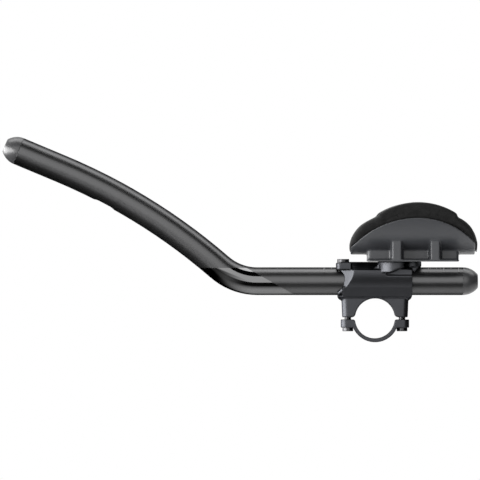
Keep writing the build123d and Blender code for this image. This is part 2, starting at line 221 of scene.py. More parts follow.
def makeFloor(setup):
    shape = bmesh.new()
    bmesh.ops.create_circle(shape, cap_ends=True, segments=96, radius=setup["floorRadius"])
    bmesh.ops.translate(shape, verts=shape.verts, vec=(0, 0, setup["floorHeight"]))
    fixed = {
        "Base Color": setup["floorColour"],
        "Roughness": 0.9,
        "Specular IOR Level": 0.0,
        "Emission Color": (1, 1, 1, 1),
    }
    material, tree, shader = principled("paleFloor", fixed)
    glow = addNode(tree, "ShaderNodeMath", {"operation": "MULTIPLY"}, {1: setup["floorGlow"]})
    wire(tree, (seenRays(tree), glow.inputs[0]), (glow.outputs[0], shader.inputs["Emission Strength"]))
    # the floor thins out to the white backdrop with the distance from its middle
    place = addNode(tree, "ShaderNodeTexCoord")
    flat = addNode(tree, "ShaderNodeVectorMath", {"operation": "MULTIPLY"}, {1: (1, 1, 0)})
    far = addNode(tree, "ShaderNodeVectorMath", {"operation": "LENGTH"})
    fade = rangeNode(tree, *setup["floorFade"], soft=True)
    below = addNode(tree, "ShaderNodeNewGeometry")
    thin = addNode(tree, "ShaderNodeMath", {"operation": "MAXIMUM"})
    clear = addNode(tree, "ShaderNodeBsdfTransparent")
    wire(
        tree,
        (place.outputs["Object"], flat.inputs[0]),
        (flat.outputs[0], far.inputs[0]),
        (far.outputs["Value"], fade.inputs["Value"]),
        (fade.outputs["Result"], thin.inputs[0]),
        (below.outputs["Backfacing"], thin.inputs[1]),
    )
    mixToOutput(tree, thin.outputs[0], shader, clear)
    stageMesh("floor", shape, material)


def makeFlag(name, shape, material):
    flag = stageMesh(name, shape, material)
    flag.visible_camera = False
    flag.visible_diffuse = False
    flag.visible_transmission = False
    flag.visible_volume_scatter = False
    flag.visible_shadow = False


def blackCloth(name, setup):
    matt = {"Base Color": setup["flagColour"], "Roughness": 1.0, "Specular IOR Level": 0.0}
    return principled(name, matt)


def makeDome(setup):
    # black cloth behind the camera and on the right, only for reflections
    shape = bmesh.new()
    bmesh.ops.create_uvsphere(shape, u_segments=48, v_segments=24, radius=setup["flagRadius"])
    openSide = [v for v in shape.verts if v.co.y > mm and v.co.x < v.co.y]
    bmesh.ops.delete(shape, geom=openSide, context="VERTS")
    makeFlag("darkDome", shape, blackCloth("domeCloth", setup)[0])


def makeCard(setup):
    # a black card over the floor, only for reflections: it thins out from the front to the middle on the
    # right, and from the back to a slanted line on the left
    material, tree, shader = blackCloth("cardCloth", setup)
    place = addNode(tree, "ShaderNodeTexCoord")
    axes = addNode(tree, "ShaderNodeSeparateXYZ")
    dark = addNode(tree, "ShaderNodeMix", {"data_type": "FLOAT"})
    clear = addNode(tree, "ShaderNodeBsdfTransparent")
    lean = addNode(tree, "ShaderNodeMath", {"operation": "MULTIPLY_ADD"}, {1: -setup["cardSlant"]})
    wire(
        tree,
        (place.outputs["Object"], axes.inputs[0]),
        (axes.outputs["X"], lean.inputs[0]),
        (axes.outputs["Y"], lean.inputs[2]),
    )
    fades = {
        "cardTurn": (axes.outputs["X"], dark.inputs[0]),
        "cardFront": (axes.outputs["Y"], dark.inputs[2]),
        "cardBack": (lean.outputs[0], dark.inputs[3]),
    }
    for label, (way, slot) in fades.items():
        fade = rangeNode(tree, *setup[label], soft=True)
        wire(tree, (way, fade.inputs["Value"]), (fade.outputs["Result"], slot))
    mixToOutput(tree, dark.outputs[0], clear, shader)
    shape = bmesh.new()
    bmesh.ops.create_grid(shape, x_segments=1, y_segments=1, size=setup["cardSize"] / 2)
    bmesh.ops.translate(shape, verts=shape.verts, vec=(0, 0, setup["cardHeight"]))
    makeFlag("darkCard", shape, material)


for name, setup in softboxes.items():
    makeSoftbox(name, setup)
makeWorld(stageSetup)
makeFloor(stageSetup)
makeDome(stageSetup)
makeCard(stageSetup)
scene.view_settings.view_transform = "Standard"
print("camera, light and stage ready")

# fine grain: a height for bump and a slow shade for colour and gloss
grainSetup = {
    "height": {"Detail": 3.0, "Roughness": 0.6},
    "shade": {"Detail": 4.0, "Roughness": 0.55},
}
# edge wear and painted highlight: a mask along sharp convex edges, broken up by noise, and a softly rounded
# normal
edgeWearAndHighlightSetup = {"samples": 6, "sharpness": (0.995, 0.9), "noiseDetail": 2.0, "breakUp": (0.35, 0.65)}


def makeGrainGroup(setup):
    tree, start, end = shaderGroup(
        "fineGrain",
        {"Grain Scale": 3000.0, "Shade Scale": 60.0},
        {"Height": "NodeSocketFloat", "Shade": "NodeSocketFloat"},
    )
    place = addNode(tree, "ShaderNodeTexCoord")
    grain = addNode(tree, "ShaderNodeTexNoise", None, setup["height"])
    shade = addNode(tree, "ShaderNodeTexNoise", None, setup["shade"])
    wire(
        tree,
        (place.outputs["Object"], grain.inputs["Vector"]),
        (place.outputs["Object"], shade.inputs["Vector"]),
        (start.outputs["Grain Scale"], grain.inputs["Scale"]),
        (start.outputs["Shade Scale"], shade.inputs["Scale"]),
        (grain.outputs["Fac"], end.inputs["Height"]),
        (shade.outputs["Fac"], end.inputs["Shade"]),
    )
    return tree


def makeEdgeGroup(setup):
    tree, start, end = shaderGroup(
        "edgeWearAndHighlight",
        {"Radius": 0.0005, "Break Scale": 900.0},
        {"Mask": "NodeSocketFloat", "Normal": "NodeSocketVector"},
    )
    rounded = addNode(tree, "ShaderNodeBevel", {"samples": setup["samples"]})
    geometry = addNode(tree, "ShaderNodeNewGeometry")
    turn = addNode(tree, "ShaderNodeVectorMath", {"operation": "DOT_PRODUCT"})
    edge = rangeNode(tree, *setup["sharpness"])
    place = addNode(tree, "ShaderNodeTexCoord")
    noise = addNode(tree, "ShaderNodeTexNoise", None, {"Detail": setup["noiseDetail"]})
    broken = rangeNode(tree, *setup["breakUp"])
    mask = addNode(tree, "ShaderNodeMath", {"operation": "MULTIPLY"})
    wire(
        tree,
        (start.outputs["Radius"], rounded.inputs["Radius"]),
        (rounded.outputs["Normal"], turn.inputs[0]),
        (rounded.outputs["Normal"], end.inputs["Normal"]),
        (geometry.outputs["Normal"], turn.inputs[1]),
        (turn.outputs["Value"], edge.inputs["Value"]),
        (place.outputs["Object"], noise.inputs["Vector"]),
        (start.outputs["Break Scale"], noise.inputs["Scale"]),
        (noise.outputs["Fac"], broken.inputs["Value"]),
        (edge.outputs["Result"], mask.inputs[0]),
        (broken.outputs["Result"], mask.inputs[1]),
        (mask.outputs[0], end.inputs["Mask"]),
    )
    return tree


grainGroup = makeGrainGroup(grainSetup)
edgeGroup = makeEdgeGroup(edgeWearAndHighlightSetup)


# a finish with grain in its bump, colour and gloss, and paler edges: worn on most finishes, a painted
# highlight on the cup
def grainyFinish(name, look):
    fixed = {
        "Metallic": look["metallic"],
        "Specular IOR Level": look["specular"],
        "Specular Tint": look["edgeTint"],
        "Sheen Weight": look["sheen"],
        "Sheen Roughness": look["sheenRoughness"],
    }
    material, tree, shader = principled(name, fixed)
    scales = {"Grain Scale": look["grainScale"], "Shade Scale": look["shadeScale"]}
    grain = placeGroup(tree, grainGroup, scales)
    wearAndHighlight = placeGroup(tree, edgeGroup, {"Radius": look["edgeRadius"], "Break Scale": look["edgeBreak"]})
    colour = addNode(tree, "ShaderNodeMix", {"data_type": "RGBA"}, {6: look["dark"], 7: look["light"]})
    wornAndHighlitColour = addNode(tree, "ShaderNodeMix", {"data_type": "RGBA"}, {7: look["edge"]})
    smooth, rough = look["roughness"]
    gloss = addNode(tree, "ShaderNodeMapRange", None, {"To Min": smooth, "To Max": rough})
    bump = addNode(
        tree, "ShaderNodeBump", None, {"Strength": look["bumpStrength"], "Distance": look["bumpDepth"]}
    )
    wire(
        tree,
        (grain.outputs["Shade"], colour.inputs["Factor"]),
        (colour.outputs[2], wornAndHighlitColour.inputs[6]),
        (wearAndHighlight.outputs["Mask"], wornAndHighlitColour.inputs["Factor"]),
        (wornAndHighlitColour.outputs[2], shader.inputs["Base Color"]),
        (grain.outputs["Shade"], gloss.inputs["Value"]),
        (gloss.outputs["Result"], shader.inputs["Roughness"]),
        (grain.outputs["Height"], bump.inputs["Height"]),
        (wearAndHighlight.outputs["Normal"], bump.inputs["Normal"]),
        (bump.outputs["Normal"], shader.inputs["Normal"]),
    )
    return material, tree, shader


tubeLook = {
    "metallic": 1.0,
    "specular": 0.5,
    "edgeTint": (0.1, 0.1, 0.1, 1),
    "dark": (0.064, 0.064, 0.065, 1),
    "light": (0.076, 0.076, 0.077, 1),
    "edge": (0.12, 0.12, 0.12, 1),
    "roughness": (0.3, 0.36),
    "grainScale": 4000.0,
    "shadeScale": 45.0,
    "edgeRadius": 0.0003,
    "edgeBreak": 1200.0,
    "bumpStrength": 0.06,
    "bumpDepth": 0.00002,
    "sheen": 0.0,
    "sheenRoughness": 0.5,
}
# gloss lacquer round the bend, under a level line and in front of a slanted one
panelLook = {
    "colour": (0.12, 0.12, 0.121, 1),
    "roughness": 0.07,
    "top": 0.0402,
    "slant": 1.79,
    "reach": -0.1031,
    "reachHeight": 0.0407,
    "edge": 0.0002,
    # the wedge: painted shade, a darker lacquer colour low in the front of the bend
    "paintedShadeColour": (0.008, 0.008, 0.008, 1),
    "paintedShadeAlong": (-0.128, -0.096),
    "paintedShadeSlant": 2.27,
    "paintedShadeReach": -0.0328,
    "paintedShadeEdge": 0.003,
}
plugLook = dict(
    tubeLook,
    metallic=0.0,
    specular=0.46,
    edgeTint=(1, 1, 1, 1),
    dark=(0.018, 0.018, 0.019, 1),
    light=(0.024, 0.024, 0.025, 1),
    edge=(0.03, 0.03, 0.03, 1),
    roughness=(0.3, 0.38),
)
bracketLook = dict(
    tubeLook,
    dark=(0.036, 0.037, 0.04, 1),
    light=(0.044, 0.045, 0.049, 1),
    edge=(0.08, 0.08, 0.085, 1),
    roughness=(0.36, 0.44),
    grainScale=5000.0,
    shadeScale=90.0,
    bumpStrength=0.3,
    edgeRadius=0.0005,
)
boltLook = dict(
    tubeLook,
    dark=(0.035, 0.035, 0.036, 1),
    light=(0.055, 0.055, 0.057, 1),
    edge=(0.2, 0.2, 0.2, 1),
    roughness=(0.22, 0.34),
)
cupLook = dict(
    tubeLook,
    metallic=0.0,
    specular=0.36,
    edgeTint=(1, 1, 1, 1),
    dark=(0.0205, 0.0215, 0.024, 1),
    light=(0.0255, 0.0265, 0.0295, 1),
    # the cup's pale edge colour is a painted highlight along its rim and its blocks' edges
    edge=(0.15, 0.15, 0.155, 1),
    roughness=(0.38, 0.46),
    grainScale=2600.0,
    shadeScale=40.0,
    bumpStrength=0.35,
    bumpDepth=0.00003,
    edgeRadius=0.0005,
)
padLook = dict(
    cupLook,
    specular=0.06,
    dark=(0.0035, 0.0035, 0.0035, 1),
    light=(0.0125, 0.0125, 0.0125, 1),
    edge=(0.02, 0.02, 0.02, 1),
    roughness=(0.85, 0.95),
    grainScale=1500.0,
    shadeScale=220.0,
    bumpStrength=0.8,
    bumpDepth=0.00025,
    sheen=0.1,
    sheenRoughness=0.35,
)
tapeLook = dict(padLook, grainScale=900.0, bumpStrength=1.0)
threadLook = dict(padLook, dark=(0.02, 0.02, 0.02, 1), light=(0.035, 0.035, 0.035, 1), grainScale=6000.0)
printLook = dict(
    plugLook,
    dark=(0.12, 0.12, 0.12, 1),
    light=(0.17, 0.17, 0.17, 1),
    edge=(0.16, 0.16, 0.16, 1),
    roughness=(0.5, 0.6),
)


# the tube's satin finish with the gloss lacquer laid over the bend
def lacqueredTube(name, look, panel):
    material, tree, shader = grainyFinish(name, look)
    place = addNode(tree, "ShaderNodeTexCoord")
    axes = addNode(tree, "ShaderNodeSeparateXYZ")
    lean = addNode(tree, "ShaderNodeMath", {"operation": "MULTIPLY_ADD"}, {1: panel["slant"]})
    reach = panel["reach"] + panel["slant"] * panel["reachHeight"]
    half = panel["edge"] / 2
    ahead = rangeNode(tree, reach + half, reach - half)
    under = rangeNode(tree, panel["top"] + half, panel["top"] - half)
    mask = addNode(tree, "ShaderNodeMath", {"operation": "MULTIPLY"})
    # a darker wedge low in the front of the bend: painted shade, standing in for a dark reflection there
    along = rangeNode(tree, *panel["paintedShadeAlong"], soft=True)
    tilt = addNode(tree, "ShaderNodeMath", {"operation": "MULTIPLY_ADD"}, {1: panel["paintedShadeSlant"]})
    above = rangeNode(tree, panel["paintedShadeReach"] - panel["paintedShadeEdge"], panel["paintedShadeReach"])
    plain = addNode(tree, "ShaderNodeMath", {"operation": "MAXIMUM"})
    lacquer = addNode(
        tree, "ShaderNodeMix", {"data_type": "RGBA"}, {6: panel["paintedShadeColour"], 7: panel["colour"]}
    )
    colour = addNode(tree, "ShaderNodeMix", {"data_type": "RGBA"})
    gloss = addNode(tree, "ShaderNodeMix", {"data_type": "FLOAT"}, {3: panel["roughness"]})
    satinColour = shader.inputs["Base Color"].links[0].from_socket
    satinGloss = shader.inputs["Roughness"].links[0].from_socket
    wire(
        tree,
        (place.outputs["Object"], axes.inputs[0]),
        (axes.outputs["Z"], lean.inputs[0]),
        (axes.outputs["X"], lean.inputs[2]),
        (lean.outputs[0], ahead.inputs["Value"]),
        (axes.outputs["Z"], under.inputs["Value"]),
        (ahead.outputs["Result"], mask.inputs[0]),
        (under.outputs["Result"], mask.inputs[1]),
        (axes.outputs["X"], along.inputs["Value"]),
        (axes.outputs["Z"], tilt.inputs[0]),
        (axes.outputs["X"], tilt.inputs[2]),
        (tilt.outputs[0], above.inputs["Value"]),
        (along.outputs["Result"], plain.inputs[0]),
        (above.outputs["Result"], plain.inputs[1]),
        (plain.outputs[0], lacquer.inputs["Factor"]),
        (lacquer.outputs[2], colour.inputs[7]),
        (mask.outputs[0], colour.inputs["Factor"]),
        (mask.outputs[0], gloss.inputs["Factor"]),
        (satinColour, colour.inputs[6]),
        (satinGloss, gloss.inputs[2]),
        (colour.outputs[2], shader.inputs["Base Color"]),
        (gloss.outputs[0], shader.inputs["Roughness"]),
    )
    return material


finishes = {
    "tube_finish": lacqueredTube("satinTube", tubeLook, panelLook),
    "plug_plastic": grainyFinish("plugMoulding", plugLook)[0],
    "bracket_finish": grainyFinish("blastedBracket", bracketLook)[0],
    "bolt_steel": grainyFinish("blackBolt", boltLook)[0],
    "cup_plastic": grainyFinish("cupMoulding", cupLook)[0],
    "pad_fabric": grainyFinish("padCloth", padLook)[0],
    "hook_fabric": grainyFinish("hookTape", tapeLook)[0],
}
threadFinish = grainyFinish("sewingThread", threadLook)[0]
printFinish = grainyFinish("scalePrint", printLook)[0]
slotOf = {part["node"]: part["material_slot"] for part in frame["record"]["subparts"]}
for name, node in nodes.items():
    for place in node.material_slots:
        place.material = finishes[slotOf[name]]
print("finishes ready:", len(finishes) + 2)


# helpers for pieces
def mergedCopy(nodeName, meshName):
    shape = bmesh.new()
    shape.from_mesh(nodes[nodeName].data)
    bmesh.ops.remove_doubles(shape, verts=shape.verts, dist=1e-6)
    mesh = bpy.data.meshes.new(meshName)
    shape.to_mesh(mesh)
    shape.free()
    return mesh


def addPiece(name, mesh, finish):
    piece = bpy.data.objects.new(name, mesh)
    scene.collection.objects.link(piece)
    mesh.materials.clear()
    mesh.materials.append(finish)
    return piece


def bakeModifiers(piece):
    seen = piece.evaluated_get(bpy.context.evaluated_depsgraph_get())
    mesh = bpy.data.meshes.new_from_object(seen)
    piece.modifiers.clear()
    piece.data = mesh
    for face in mesh.polygons:
        face.use_smooth = True
    return mesh


def addRemesh(piece, voxel):
    remesh = piece.modifiers.new("voxels", "REMESH")
    remesh.mode = "VOXEL"
    remesh.voxel_size = voxel


def makeFinder(places):
    finder = KDTree(len(places))
    for index, place in enumerate(places):
        finder.insert(place, index)
    finder.balance()
    return finder


def readPoints(mesh):
    flat = np.empty(len(mesh.vertices) * 3)
    mesh.vertices.foreach_get("co", flat)
    return flat.reshape(-1, 3)


def writePoints(mesh, points):
    mesh.vertices.foreach_set("co", points.ravel())
    mesh.update()


# castings and the moulded cup: the CAD solids with softly rounded edges
barBore = {"axis": 1, "centre": (0, 0, 0), "radius": 0.0159}
tubeBore = {"axis": 0, "centre": (0, 0, 0.0296), "radius": 0.01117}
softenFactor = 0.5
softSetup = {
    "clamp_bracket": {
        "piece": "castBracket",
        "voxel": 0.00045,
        "rounds": 4,
        "bores": [barBore, tubeBore],
        "crease": {"low": (-0.0096, 0.0174), "high": (-0.0134, 0.025), "front": -0.026, "wall": 0.0122},
    },
    "bar_clamp_cap": {"piece": "castCap", "voxel": 0.00036, "rounds": 4, "bores": [barBore]},
    "armrest_cup": {
        "piece": "mouldedCup",
        "voxel": 0.0006,
        "rounds": 5,
        "bores": [],
        "ledge": {
            "axisHeight": 0.1008,
            "radius": 0.0485,
            "edge": 0.0004,
            "front": -0.0158,
            "depth": 0.002,
            "reach": 0.0019,
            "rise": (0.06, 0.056),
        },
    },
}


def keepBores(points, bores):
    # a smoothed bore shrinks a little, so its wall goes back to its radius
    for bore in bores:
        away = points - np.array(bore["centre"])
        away[:, bore["axis"]] = 0
        reach = np.linalg.norm(away, axis=1)
        inside = reach < bore["radius"]
        points[inside] += away[inside] * (bore["radius"] / reach[inside] - 1)[:, None]


def fillCrease(points, crease):
    # the hollow under the sleeve's cheek is filled up to a straight line between its two edges
    (lowY, lowZ), (highY, highZ) = crease["low"], crease["high"]
    x, y, z = points.T
    line = lowY + (z - lowZ) * (highY - lowY) / (highZ - lowZ)
    wall = np.hypot(y, z - tubeBore["centre"][2])
    between = (z > lowZ) & (z < highZ) & (y < 0) & (x > crease["front"])
    hollow = between & (y > line) & (wall > crease["wall"])
    points[hollow, 1] = line[hollow]


def drawLedge(points, ledge):
    # the cup's floor runs on a little under the pad's front lip
    x, y, z = points.T
    gone, full = ledge["rise"]
    outer = np.clip((np.hypot(y, z - ledge["axisHeight"]) - ledge["radius"]) / ledge["edge"], 0, 1)
    ahead = np.clip((ledge["front"] - x) / ledge["depth"], 0, 1)
    low = np.clip((gone - z) / (gone - full), 0, 1)
    points[:, 0] -= ledge["reach"] * outer * ahead * low


def softPiece(nodeName, setup):
    finish = finishes[slotOf[nodeName]]
    piece = addPiece(setup["piece"], mergedCopy(nodeName, setup["piece"]), finish)
    addRemesh(piece, setup["voxel"])
    mesh = bakeModifiers(piece)
    points = readPoints(mesh)
    if "crease" in setup:
        fillCrease(points, setup["crease"])
    if "ledge" in setup:
        drawLedge(points, setup["ledge"])
    writePoints(mesh, points)
    smooth = piece.modifiers.new("soften", "SMOOTH")
    smooth.factor = softenFactor
    smooth.iterations = setup["rounds"]
    mesh = bakeModifiers(piece)
    points = readPoints(mesh)
    keepBores(points, setup["bores"])
    writePoints(mesh, points)
    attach(piece, "bracket")
    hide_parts(nodeName)
    return piece


softPieces = {nodeName: softPiece(nodeName, setup) for nodeName, setup in softSetup.items()}
for soft in softPieces.values():
    print("soft edges:", soft.name, len(soft.data.polygons), "faces")


# armrest pad: the solid drawn in a little, blown up as cloth and sewn along a channel inside its border
padSetup = {
    "voxel": 0.0012,
    "drawIn": 0.0001,
    "pressure": 4.0,
    "vertexMass": 0.0006,
    "frames": 20,
    "cap": 0.0012,
    "clearance": 0.0002,
    "searchReach": 0.004,
    "fill": 0.7,
    "channelDepth": 0.0009,
    "channelWidth": 0.0018,
}
# the pad's rolled border: how deep it is, how tight at the ends and on the wing, and its gap above the rim
rollSetup = {
    "band": 0.0083,
    "endRoll": 2.0,
    "wingRoll": 6.0,
    "wingTurn": {"start": 0.8, "span": 0.3},
    "floorTurn": (0.35, 0.7),
    "leastSlope": 0.5,
    "rimGap": 0.0007,
    "steps": 120,
}
# the trough that the pad lies in, and the pad's arched border with its round corners, seen from the side
troughSetup = {
    "axisHeight": 0.1008,
    "padInside": 0.0364,
    "padUnderside": 0.0454,
    "padOutside": 0.0484,
    "apex": (0.0335, 0.088),
    "corner": 0.025,
    "ends": [{"x": -0.02, "radius": 0.08, "way": -1}, {"x": 0.0808, "radius": 0.073, "way": 1}],
    "wing": {"top": 0.0926, "radius": 0.057, "half": 0.0312},
    "lip": {"low": 0.05, "high": 0.056, "steps": 12},
}
seamSetup = {"margin": 0.0065, "steps": 60}


def swell(piece, setup):
    # cloth with pressure and no weight; no point ends further than the cap from where it began
    start = readPoints(piece.data)
    cloth = piece.modifiers.new("swell", "CLOTH")
    cloth.settings.use_pressure = True
    cloth.settings.uniform_pressure_force = setup["pressure"]
    cloth.settings.mass = setup["vertexMass"]
    cloth.settings.effector_weights.gravity = 0
    cloth.collision_settings.use_collision = False
    cloth.point_cache.frame_end = setup["frames"]
    for step in range(1, setup["frames"] + 1):
        scene.frame_set(step)
    mesh = bakeModifiers(piece)
    scene.frame_set(1)
    moved = readPoints(mesh) - start
    length = np.linalg.norm(moved, axis=1)
    moved *= (setup["cap"] / np.maximum(length, setup["cap"]))[:, None]
    writePoints(mesh, start + moved)
    print("pad swelled by up to", round(float(length.max()) / mm, 2), "mm, capped")


def keepClear(mesh, others, gap, reach):
    # points in or close to a neighbour go back to its surface, with a small gap
    points = readPoints(mesh)
    depsgraph = bpy.context.evaluated_depsgraph_get()
    for other in others:
        tree = BVHTree.FromObject(other, depsgraph)
        for index, point in enumerate(points):
            spot, normal = tree.find_nearest(Vector(point), reach)[:2]
            if spot is not None and (Vector(point) - spot).dot(normal) < gap:
                points[index] = spot + normal * gap
    writePoints(mesh, points)


def borderHalf(trough, end, margin, steps):
    # places (x, z) along one end's round corner and up the arch to its apex, a margin inside the border
    apexX, apexZ = trough["apex"]
    archZ = apexZ - end["radius"]
    cornerX = end["x"] - end["way"] * trough["corner"]
    reach = end["radius"] - trough["corner"]
    lean = math.asin((cornerX - apexX) / reach)
    cornerZ = archZ + reach * math.cos(lean)
    arch, corner = end["radius"] - margin, trough["corner"] - margin
    cornerTurns = np.linspace(end["way"] * math.pi / 2, lean, steps)
    archTurns = np.linspace(lean, 0, steps)[1:]
    half = [(cornerX + corner * math.sin(a), cornerZ + corner * math.cos(a)) for a in cornerTurns]
    half += [(apexX + arch * math.sin(a), archZ + arch * math.cos(a)) for a in archTurns]
    return half


def seamLine(seam, trough):
    # places (x, turn about the trough's axis) once round the pad, a margin inside its border
    front, rear = (borderHalf(trough, end, seam["margin"], seam["steps"]) for end in trough["ends"])
    side = []
    for x, z in front + rear[-2::-1]:
        drop = (trough["axisHeight"] - z) / trough["padInside"]
        if drop < 1:
            side.append((x, math.acos(drop)))
    return side + [(x, -turn) for x, turn in side[::-1]]


def borderFinder(trough, steps):
    # finds the nearest place of the border, wing included, seen from the side
    apexX = trough["apex"][0]
    wing, lip = trough["wing"], trough["lip"]
    lipHeights = np.linspace(lip["low"], lip["high"], lip["steps"])
    places = []
    for end in trough["ends"]:
        places += [(x, z) for x, z in borderHalf(trough, end, 0, steps) if abs(x - apexX) > wing["half"]]
        places += [(end["x"], z) for z in lipHeights]
    for x in np.linspace(-wing["half"], wing["half"], 3 * steps):
        places.append((apexX + x, wing["top"] - wing["radius"] + math.sqrt(wing["radius"] ** 2 - x**2)))
    return makeFinder([(x, 0, z) for x, z in places])


def rollBorder(mesh, setup, trough):
    # the band above the cup's rim rolls over at its edges: softly at the ends, tightly on the wing
    points = readPoints(mesh)
    finder = borderFinder(trough, setup["steps"])
    depth = np.array([finder.find((x, 0, z))[2] for x, _, z in points]) / setup["band"]
    drop = trough["axisHeight"] - points[:, 2]
    radius = np.hypot(points[:, 1], drop)
    turn = np.arctan2(np.abs(points[:, 1]), drop)
    along = np.abs(points[:, 0] - trough["apex"][0]) / trough["wing"]["half"]
    ends = np.clip((along - setup["wingTurn"]["start"]) / setup["wingTurn"]["span"], 0, 1)
    roll = setup["wingRoll"] + (setup["endRoll"] - setup["wingRoll"]) * ends
    full = (1 - np.clip(np.abs(2 * depth - 1), 0, 1) ** roll) ** (1 / roll)
    middle = (trough["padInside"] + trough["padOutside"]) / 2
    base = np.where(depth < 0.5, middle, np.minimum(radius, trough["padUnderside"]))
    rolled = base + (radius - base) * full
    low, high = setup["floorTurn"]
    share = np.clip((turn - low) / (high - low), 0, 1) * (depth < 1)
    slope = np.maximum(np.sin(turn), setup["leastSlope"])
    points[:, 1] += np.sign(points[:, 1]) * (rolled - radius) * share / slope
    # a shadow gap between the band and the rim
    lifted = np.clip(depth * 2 - 1, 0, 1) * (radius > trough["padUnderside"]) * share
    points[:, 2] += setup["rimGap"] * lifted
    writePoints(mesh, points)


def onPad(tree, x, turn, trough):
    # where a ray from the trough's axis meets the pad's inner face
    axis = Vector((x, 0, trough["axisHeight"]))
    way = Vector((0, math.sin(turn), -math.cos(turn)))
    return tree.ray_cast(axis, way)[0]


def sewnLine(piece, seam, trough):
    tree = BVHTree.FromObject(piece, bpy.context.evaluated_depsgraph_get())
    return [onPad(tree, x, turn, trough) for x, turn in seamLine(seam, trough)]


def makePad(setup, roll, seam, trough, neighbours):
    piece = addPiece("armrestPad", mergedCopy("armrest_pad", "armrestPad"), finishes["pad_fabric"])
    addRemesh(piece, setup["voxel"])
    drawIn = piece.modifiers.new("drawIn", "DISPLACE")
    drawIn.mid_level = 0
    drawIn.strength = -setup["drawIn"]
    rollBorder(bakeModifiers(piece), roll, trough)
    swell(piece, setup)
    keepClear(piece.data, neighbours, setup["clearance"], setup["searchReach"])
    subdivide = piece.modifiers.new("subdivide", "SUBSURF")
    subdivide.levels = 1
    subdivide.render_levels = 1
    mesh = bakeModifiers(piece)
    # the sewn channel: points near the seam sink into the pad
    finder = makeFinder(sewnLine(piece, seam, trough))
    points = readPoints(mesh)
    for index, point in enumerate(points):
        near = finder.find(Vector(point))[2]
        outward = Vector((0, point[1], point[2] - trough["axisHeight"])).normalized()
        sink = setup["channelDepth"] * math.exp(-((near / setup["channelWidth"]) ** 2))
        points[index] += np.array(outward) * sink
    writePoints(mesh, points)
    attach(piece, "bracket")
    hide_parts("armrest_pad")
    return piece


padNeighbours = [softPieces["armrest_cup"], nodes["hook_strips"]]
pad = makePad(padSetup, rollSetup, seamSetup, troughSetup, padNeighbours)
print("pad ready:", len(pad.data.polygons), "faces")


# helpers for Geometry Nodes pieces
def geometryGroup(name, setup):
    # one named input for each value of the setup, and one for the finish
    tree = bpy.data.node_groups.new(name, "GeometryNodeTree")
    tree.interface.new_socket("Geometry", in_out="INPUT", socket_type="NodeSocketGeometry")
    for label, value in setup.items():
        kind = "NodeSocketInt" if isinstance(value, int) else "NodeSocketFloat"
        tree.interface.new_socket(label, in_out="INPUT", socket_type=kind)
    tree.interface.new_socket("Finish", in_out="INPUT", socket_type="NodeSocketMaterial")
    tree.interface.new_socket("Geometry", in_out="OUTPUT", socket_type="NodeSocketGeometry")
    return tree, tree.nodes.new("NodeGroupInput"), tree.nodes.new("NodeGroupOutput")


def endGroup(tree, start, end, instances):
    # real faces, smooth, with the piece's finish
    real = addNode(tree, "GeometryNodeRealizeInstances")
    smooth = addNode(tree, "GeometryNodeSetShadeSmooth")
    finish = addNode(tree, "GeometryNodeSetMaterial")
    wire(
        tree,
        (instances, real.inputs[0]),
        (real.outputs[0], smooth.inputs["Geometry"]),
        (smooth.outputs[0], finish.inputs["Geometry"]),
        (start.outputs["Finish"], finish.inputs["Material"]),
        (finish.outputs[0], end.inputs[0]),
    )


def grownPiece(name, tree, values, mesh, body):
    # run the tree once on a carrier mesh and keep the result as a plain mesh
    piece = bpy.data.objects.new(name, mesh)
    scene.collection.objects.link(piece)
    grow = piece.modifiers.new("grow", "NODES")
    grow.node_group = tree
    for item in tree.interface.items_tree:
        if item.in_out == "INPUT" and item.name in values:
            grow[item.identifier] = values[item.name]
    seen = piece.evaluated_get(bpy.context.evaluated_depsgraph_get())
    grown = bpy.data.meshes.new_from_object(seen)
    piece.modifiers.clear()
    piece.data = grown
    grown.materials.clear()
    grown.materials.append(values["Finish"])
    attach(piece, body)
    print("grown:", name, len(grown.polygons), "faces")


def loopMesh(name, points):
    mesh = bpy.data.meshes.new(name)
    edges = [(i, (i + 1) % len(points)) for i in range(len(points))]
    mesh.from_pydata([tuple(p) for p in points], edges, [])
    return mesh


# stitches in the pad's channel
stitchSetup = {"Pitch": 0.0034, "Length": 0.0024, "Thickness": 0.0007}


def makeStitchTree(setup):
    tree, start, end = geometryGroup("stitches", setup)
    path = addNode(tree, "GeometryNodeMeshToCurve")
    even = addNode(tree, "GeometryNodeResampleCurve", {"mode": "LENGTH"})
    bead = addNode(tree, "GeometryNodeMeshUVSphere", None, {"Segments": 8, "Rings": 6, "Radius": 0.5})
    way = addNode(tree, "GeometryNodeInputTangent")
    turn = addNode(tree, "FunctionNodeAlignRotationToVector", {"axis": "Z"})
    size = addNode(tree, "ShaderNodeCombineXYZ")
    sew = addNode(tree, "GeometryNodeInstanceOnPoints")
    wire(
        tree,
        (start.outputs["Geometry"], path.inputs["Mesh"]),
        (path.outputs["Curve"], even.inputs["Curve"]),
        (start.outputs["Pitch"], even.inputs["Length"]),
        (way.outputs["Tangent"], turn.inputs["Vector"]),
        (start.outputs["Thickness"], size.inputs["X"]),
        (start.outputs["Thickness"], size.inputs["Y"]),
        (start.outputs["Length"], size.inputs["Z"]),
        (even.outputs["Curve"], sew.inputs["Points"]),
        (bead.outputs["Mesh"], sew.inputs["Instance"]),
        (turn.outputs["Rotation"], sew.inputs["Rotation"]),
        (size.outputs["Vector"], sew.inputs["Scale"]),
    )
    endGroup(tree, start, end, sew.outputs["Instances"])
    return tree


stitchValues = dict(stitchSetup, Finish=threadFinish)
seamMesh = loopMesh("padStitches", sewnLine(pad, seamSetup, troughSetup))
grownPiece("padStitches", makeStitchTree(stitchSetup), stitchValues, seamMesh, "bracket")

# printed scale on top of the tube: short and long marks in turn
scaleSetup = {
    "Marks": 19,
    "First": -0.0405,
    "Pitch": 0.00595,
    "Axis Height": 0.0296,
    "Radius": 0.01111,
    "Long Arc": math.radians(96),
    "Short Arc": math.radians(50),
    "Mark Width": 0.0006,
    "Mark Depth": 0.00003,
}


